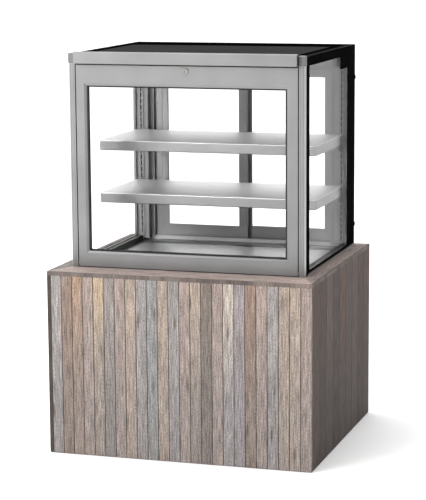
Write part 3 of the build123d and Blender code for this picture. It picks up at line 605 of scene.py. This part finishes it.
# %% [markdown]
# ## Grain, weather and knots
# Old boards show five things at once: fine grain, pits where soft wood wore away, a broader figure that
# wanders, silver patches where rain and sun took the colour, and a few dark knots. One pattern would repeat
# on every board, so each of the five is a noise of its own size instead. Each is given as how many fit in a
# metre, across the board and along it: grain lines 3 mm by 71 mm, figure 14 by 200, silver patches 63 by 286,
# and pits 4 by 8. Real grain lines are under a millimetre apart, too fine to show here, so they are drawn at
# three.

# %% Noises that run along the board
layers = {"grain": (330, 14, 5.0), "figure": (70, 5, 3.0), "weather": (16, 3.5, 3.0),
          "pores": (260, 120, 2.0)}


def board_noises(tree, run):
    noises = {}
    for layer, (across, along, detail) in layers.items():
        sized = add(tree, "ShaderNodeMapping", inputs={"Vector": run, "Scale": (across, 1.0, along)})
        noises[layer] = add(tree, "ShaderNodeTexNoise",
                            inputs={"Vector": sized.outputs[0], "Scale": 1.0, "Detail": detail,
                                    "Distortion": 0.8 if layer == "figure" else 0.0}).outputs[0]
    return noises


print("patterns in a board:", list(layers))

# %% [markdown]
# ## Colour of old wood
# A board that stands upright is paler toward its top. The silver patches are laid over that, and then grain,
# figure and pits each darken or lighten the result. They are multiplied, so that a dark line stays dark
# across a pale patch, as it does in wood.

# %% Aged and grained
fade_low = 0.40
fade_high = 0.78
depths = (("grain", 0.36, 0.62, 0.50, 1.18), ("figure", 0.30, 0.70, 0.82, 1.12),
          ("pores", 0.30, 0.60, 0.62, 1.12))


def aged_wood(tree, noises, height, picked, stain_and_shade):
    faded = add(tree, "ShaderNodeMath", {"operation": "MULTIPLY_ADD"},
                {0: noises["figure"], 1: 0.30, 2: height})
    top_share = add(tree, "ShaderNodeMapRange", inputs={0: faded.outputs[0], 1: fade_low, 2: fade_high})
    wood = add(tree, "ShaderNodeMix", {"data_type": "RGBA"},
               {0: top_share.outputs[0], 6: picked[1], 7: picked[0]})
    silver = add(tree, "ShaderNodeMapRange",
                 inputs={0: noises["weather"], 1: 0.48, 2: 0.72, 3: 0.0, 4: 0.45})
    aged = add(tree, "ShaderNodeMix", {"data_type": "RGBA"},
               {0: silver.outputs[0], 6: wood.outputs[2], 7: stained_and_shaded("#948d88", stain_and_shade)})
    share = 1.0
    for layer, low, high, dark, light in depths:
        depth = add(tree, "ShaderNodeMapRange", inputs={0: noises[layer], 1: low, 2: high, 3: dark, 4: light})
        share = add(tree, "ShaderNodeMath", {"operation": "MULTIPLY"},
                    {0: depth.outputs[0], 1: share}).outputs[0]
    return add(tree, "ShaderNodeVectorMath", {"operation": "SCALE"},
               {0: aged.outputs[2], "Scale": share}).outputs[0]


print("boards fade from %.2f m to %.2f m" % (fade_low, fade_high))

# %% [markdown]
# ## Knots and dirty seams
# A knot is a dark spot, so it is the middle of a cell in a pattern of long cells, about 42 mm wide and 238 mm
# long. Dirt gathers in the seams, so the edges of each board darken. Both are laid over the wood's colour at
# the end.

# %% Knots, then dirt
knots_across = 24
knots_along = 4.2
board_share = 0.976


def knots_and_dirt(tree, run, within, wood, stain_and_shade, seam):
    cells = add(tree, "ShaderNodeMapping",
                inputs={"Vector": run, "Scale": (knots_across, 1.0, knots_along)})
    knot = add(tree, "ShaderNodeTexVoronoi", inputs={"Vector": cells.outputs[0], "Scale": 1.0})
    knot_share = add(tree, "ShaderNodeMapRange",
                     inputs={0: knot.outputs["Distance"], 1: 0.05, 2: 0.16, 3: 0.75, 4: 0.0})
    knotted = add(tree, "ShaderNodeMix", {"data_type": "RGBA"},
                  {0: knot_share.outputs[0], 6: wood, 7: stained_and_shaded("#4a3c33", stain_and_shade)})
    centre = add(tree, "ShaderNodeMath", {"operation": "SUBTRACT"}, {0: within, 1: board_share / 2})
    off = add(tree, "ShaderNodeMath", {"operation": "ABSOLUTE"}, {0: centre.outputs[0]})
    dirt = add(tree, "ShaderNodeMapRange",
               inputs={0: off.outputs[0], 1: seam, 2: board_share / 2, 3: 0.0, 4: 0.7})
    return add(tree, "ShaderNodeMix", {"data_type": "RGBA"},
               {0: dirt.outputs[0], 6: knotted.outputs[2], 7: linear("#3a322d")}).outputs[2]


print("a board fills %.1f %% of its pitch" % (100 * board_share))

# %% [markdown]
# ## One board material
# The steps above are put together here. Sawn wood left outside has no gloss, so it is rough, and rougher
# still in the dark lines, where the soft wood has gone. The same lines are sunk with a bump.

# %% Board material
def boards(name, across, along, start_at, pitch, sequence, stain_and_shade=(1.0, 1.0, 1.0), seam=0.44):
    material, tree, shader = start(name, 0.0, 0.78, 1.5)
    axes, number, within, run = board_places(tree, across, along, start_at, pitch)
    picked = board_tones(tree, number, sequence, stain_and_shade)
    noises = board_noises(tree, run)
    wood = aged_wood(tree, noises, axes[along], picked, stain_and_shade)
    colour = knots_and_dirt(tree, run, within, wood, stain_and_shade, seam)
    rough = add(tree, "ShaderNodeMapRange", inputs={0: noises["grain"], 1: 0.3, 2: 0.7, 3: 0.88, 4: 0.68})
    raised = add(tree, "ShaderNodeBump",
                 inputs={"Height": noises["grain"], "Distance": 0.0006, "Strength": 0.5})
    tree.links.new(colour, shader.inputs["Base Color"])
    tree.links.new(rough.outputs[0], shader.inputs["Roughness"])
    tree.links.new(raised.outputs[0], shader.inputs["Normal"])
    print("boards:", name, "pitch %.0f mm" % (pitch * 1000))
    return material


# %% [markdown]
# ## Boards on the counter's walls
# The front has 24 narrow boards, and each side has nine wide ones. The pitch comes from the imported size of
# the cladding, so a seam falls on every real gap. The side boards are painted much darker and browner as
# painted shade for the counter's sides, which leaves less difference between them.

# %% Board the walls
gap = 0.001
front_stain = (0.93, 0.92, 0.92)
# The side factor is painted shade, darker and browner.
side_painted_shade = (0.285, 0.222, 0.205)
front_low, front_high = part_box("front_planks")
front_pitch = (front_high.x - front_low.x + gap) / len(front_tones)
front_boards = boards("weathered_reclaimed_board_front", "X", "Z", front_low.x, front_pitch, front_tones,
                      front_stain)
wear(front_boards, "front_planks")
for side_name in ("left", "right"):
    low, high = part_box(side_name + "_planks")
    pitch = (high.y - low.y + gap) / len(side_tones)
    side_boards = boards("weathered_reclaimed_board_" + side_name, "Y", "Z", low.y, pitch, side_tones,
                         side_painted_shade)
    wear(side_boards, side_name + "_planks")

# %% [markdown]
# ## The counter's top and its inside
# The trim round the top is laid flat, so its grain runs along each piece. The front and rear pieces are
# painted paler as painted light, and the side ones darker as painted shade. The carcass is raw birch
# plywood in whole sheets, an even pale brown with fine grain, so its pitch is wider than the counter and no
# seam falls on it.

# %% Board the top and the carcass
rim_seam = 0.47
rim_low, rim_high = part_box("top_trim_front")
rim_tones = ["rose", "ash"] * 3
# Painted light on the front and rear pieces, painted shade on the side pieces.
across_x = boards("weathered_top_board_level", "Y", "X", rim_low.y, rim_high.y - rim_low.y, rim_tones,
                  (1.36, 1.30, 1.30), rim_seam)
across_y = boards("weathered_top_board_lengthways", "X", "Y", rim_low.x,
                  (rim_high.x - rim_low.x) / len(rim_tones), rim_tones[::-1], (0.87, 0.83, 0.82), rim_seam)
wear(across_x, "top_trim_front", "top_trim_rear")
wear(across_y, "top_trim_left", "top_trim_right")
sheet_width = 4.0
plywood = boards("raw_birch_plywood", "X", "Z", -sheet_width / 2, sheet_width, ["tan"])
wear(plywood, "counter_front_panel", "counter_left_panel", "counter_right_panel", "counter_floor",
     "counter_rear_frame")

# %% [markdown]
# ## Tools for the small pieces
# A flat piece starts as a box of the right size and place. Everything else is deselected first, because an
# operator acts on all that is selected. Faces or edges are then picked by a rule about their place or their
# normal, which does by code what a click does by hand. A finished piece is tied to the body it moves with.

# %% Start, pick and finish
def block(name, low, high):
    bpy.ops.object.select_all(action="DESELECT")
    bpy.ops.mesh.primitive_cube_add(size=1, location=[(a + b) / 2 for a, b in zip(low, high)])
    piece = bpy.context.object
    piece.name = name
    piece.scale = [b - a for a, b in zip(low, high)]
    bpy.ops.object.transform_apply(location=True, rotation=True, scale=True)
    return piece


def pick(piece, kind, rule):
    bpy.ops.mesh.select_mode(type=kind)
    bpy.ops.mesh.select_all(action="DESELECT")
    shape = bmesh.from_edit_mesh(piece.data)
    for part in shape.faces if kind == "FACE" else shape.edges:
        part.select_set(rule(part))
    bmesh.update_edit_mesh(piece.data)


def finish_piece(piece, material, body):
    piece.data.materials.append(material)
    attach(piece, body)
    shape = bmesh.new()
    shape.from_mesh(piece.data)
    unclosed = sum(1 for edge in shape.edges if len(edge.link_faces) != 2)
    shape.free()
    print(piece.name, "faces", len(piece.data.polygons), "open edges", unclosed)


# %% [markdown]
# ## A thin plate with a window
# Prints and spacers are flat rings. Bisect cuts add edges where the window's sides go, the faces inside are
# deleted on both sides, and a bridge joins the two open loops into the window's walls. A boolean could cut
# the window too, but it leaves less even faces.

# %% Model a ring
def ring_piece(name, low, high, cuts, inside, material, body):
    piece = block(name, low, high)
    bpy.ops.object.mode_set(mode="EDIT")
    for axis, value in cuts:
        bpy.ops.mesh.select_all(action="SELECT")
        normal = [1.0 if i == axis else 0.0 for i in range(3)]
        bpy.ops.mesh.bisect(plane_co=[n * value for n in normal], plane_no=normal)
    pick(piece, "FACE", lambda face: (inside(face.calc_center_median())
                                      and abs(face.normal.x + face.normal.y) > 0.9))
    bpy.ops.mesh.delete(type="FACE")
    pick(piece, "EDGE", lambda edge: edge.is_boundary)
    bpy.ops.mesh.bridge_edge_loops()
    bpy.ops.mesh.select_all(action="SELECT")
    bpy.ops.mesh.normals_make_consistent(inside=False)
    bpy.ops.object.mode_set(mode="OBJECT")
    finish_piece(piece, material, body)


# %% [markdown]
# ## Printed borders on the side glass
# A dull black border is printed on the outside of each outer pane to hide the glue and the posts. It is a
# skin a few hundredths of a millimetre thick, drawn here at 0.1 mm so that it has two clean faces. It is so
# matt that it mirrors nothing, so its shader has no specular layer. The studs through the glass are painted
# with the same ink. At the top rear the print steps down into the window.

# %% Side prints
ink = skin("matt_black_screen_print", "#0b0b0b", "#101010", 0.6, 2.0, 0.02)
ink.node_tree.nodes["Principled BSDF"].inputs["Specular IOR Level"].default_value = 0.0
wear(ink, "glass_studs")
print_depth = 0.0001
off_the_glass = 0.00003
window_front = -0.286
window_low = 0.719
window_high = 1.473
notch_front = 0.186
notch_low = 1.426
for side_name, sign, window_back in (("left", -1, 0.356), ("right", 1, 0.301)):
    low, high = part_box("side_glazing_" + side_name)
    outer_face = sign * (high.x if sign > 0 else -low.x) + sign * off_the_glass
    x_pair = sorted((outer_face, outer_face + sign * print_depth))
    ring_piece(
        "side_print_" + side_name,
        (x_pair[0], low.y + 0.0005, low.z + 0.0003), (x_pair[1], high.y - 0.0005, high.z - 0.0005),
        [(1, window_front), (1, notch_front), (1, window_back),
         (2, window_low), (2, notch_low), (2, window_high)],
        lambda c: (window_front < c.y < window_back and window_low < c.z < window_high
                   and not (c.y > notch_front and c.z > notch_low)),
        ink, "case")

# %% [markdown]
# ## Seals along the top of the side glass
# The bare top edge of each side pane is sealed with a line of dark silicone against the top glass. It starts
# as a long thin box, and bevelling its two top edges gives the rounded line that a wet finger leaves. Tooled
# silicone is dull, so it has no specular layer, and it shows as a thin dark line.

# %% Top seals
silicone = skin("tooled_dark_silicone", "#242424", "#2c2c2c", 0.5, 2.0, 0.02)
silicone.node_tree.nodes["Principled BSDF"].inputs["Specular IOR Level"].default_value = 0.0
seal_height = 0.0012
cap_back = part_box("post_caps")[1].y
pane_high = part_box("side_glazing_right")[1]
low_z = pane_high.z + 0.0001
for side_name, sign in (("left", -1), ("right", 1)):
    x_pair = sorted((sign * (top_high.x + 0.0003), sign * (pane_high.x + 0.0002)))
    seal = block("top_seal_" + side_name, (x_pair[0], cap_back + 0.0005, low_z),
                 (x_pair[1], pane_high.y - 0.0005, low_z + seal_height))
    bpy.ops.object.mode_set(mode="EDIT")
    pick(seal, "EDGE", lambda edge: (all(v.co.z > low_z + 0.001 for v in edge.verts)
                                     and abs(edge.verts[0].co.y - edge.verts[1].co.y) > 0.1))
    bpy.ops.mesh.bevel(offset=0.0009, segments=3)
    bpy.ops.object.mode_set(mode="OBJECT")
    finish_piece(seal, silicone, "case")

# %% [markdown]
# ## Spacers in the sealed glass
# A sealed double pane is held apart by a thin bar all round its edge. In the sides it is mill-finish
# aluminium, which shows as a grey line just inside the frame. In the door it is black rubber, which is lost
# against the gasket. Both are rings again.

# %% Spacer bars
spacer = drawn_metal("mill_finish_spacer_bar", "#6e6e6e", "#7e7e7e", "Z", 0.4)
bar_width = 0.007
bar_low = Vector((0.4423, -0.3008, 0.7112))
bar_high = Vector((0.4513, 0.3510, 1.4990))
hole_low = bar_low + Vector((0, bar_width, bar_width))
hole_high = bar_high - Vector((0, bar_width, bar_width))
for side_name, sign in (("left", -1), ("right", 1)):
    x_pair = sorted((sign * bar_low.x, sign * bar_high.x))
    ring_piece(
        "side_spacer_" + side_name, (x_pair[0], bar_low.y, bar_low.z), (x_pair[1], bar_high.y, bar_high.z),
        [(1, hole_low.y), (1, hole_high.y), (2, hole_low.z), (2, hole_high.z)],
        lambda c: hole_low.y < c.y < hole_high.y and hole_low.z < c.z < hole_high.z,
        spacer, "case")
glass_low, glass_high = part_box("front_door_glass")
margin = 0.012
ring_piece(
    "front_door_spacer", (glass_low.x + 0.001, glass_low.y + 0.0052, glass_low.z + 0.001),
    (glass_high.x - 0.001, glass_high.y - 0.0052, glass_high.z - 0.001),
    [(0, glass_low.x + margin), (0, glass_high.x - margin),
     (2, glass_low.z + margin), (2, glass_high.z - margin)],
    lambda c: abs(c.x) < glass_high.x - margin and glass_low.z + margin < c.z < glass_high.z - margin,
    gasket, "front_door")

# %% [markdown]
# ## Panel screws
# The louvred panel is held by six button-head screws. One is made from a cylinder: its outer rim is bevelled
# round, and an inset and an inward extrusion make the socket. The others are copies, each with its own mesh,
# moved inside the mesh so that every screw's object still sits at the origin.

# %% Model one screw
panel_low, panel_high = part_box("rear_louvre_panel")
from_edge = 0.012
screw_x = (panel_low.x + from_edge, 0.0, panel_high.x - from_edge)
screw_z = (panel_low.z + from_edge, panel_high.z - from_edge)
screw_y = panel_low.y + 0.0032
bpy.ops.object.select_all(action="DESELECT")
bpy.ops.mesh.primitive_cylinder_add(vertices=24, radius=0.0045, depth=0.0024,
                                    location=(screw_x[0], screw_y, screw_z[0]),
                                    rotation=(math.radians(-90), 0, 0))
first = bpy.context.object
first.name = "panel_screw_1"
bpy.ops.object.transform_apply(location=True, rotation=True, scale=True)
bpy.ops.object.mode_set(mode="EDIT")
pick(first, "FACE", lambda face: face.normal.y > 0.9)
bpy.ops.mesh.bevel(offset=0.0009, segments=3)
pick(first, "FACE", lambda face: face.normal.y > 0.99 and face.calc_center_median().y > screw_y + 0.0011)
bpy.ops.mesh.inset(thickness=0.0015)
bpy.ops.mesh.extrude_region_move(TRANSFORM_OT_translate={"value": (0, -0.0012, 0)})
bpy.ops.object.mode_set(mode="OBJECT")
print("one screw has", len(first.data.polygons), "faces")

# %% Copy it to the other places
screws = [first]
for number, (x, z) in enumerate([(x, z) for x in screw_x for z in screw_z][1:], 2):
    mesh = first.data.copy()
    mesh.transform(Matrix.Translation((x - screw_x[0], 0, z - screw_z[0])))
    screw = bpy.data.objects.new("panel_screw_%d" % number, mesh)
    first.users_collection[0].objects.link(screw)
    screws.append(screw)
for screw in screws:
    finish_piece(screw, nickel, "case")
print("screws:", len(screws))
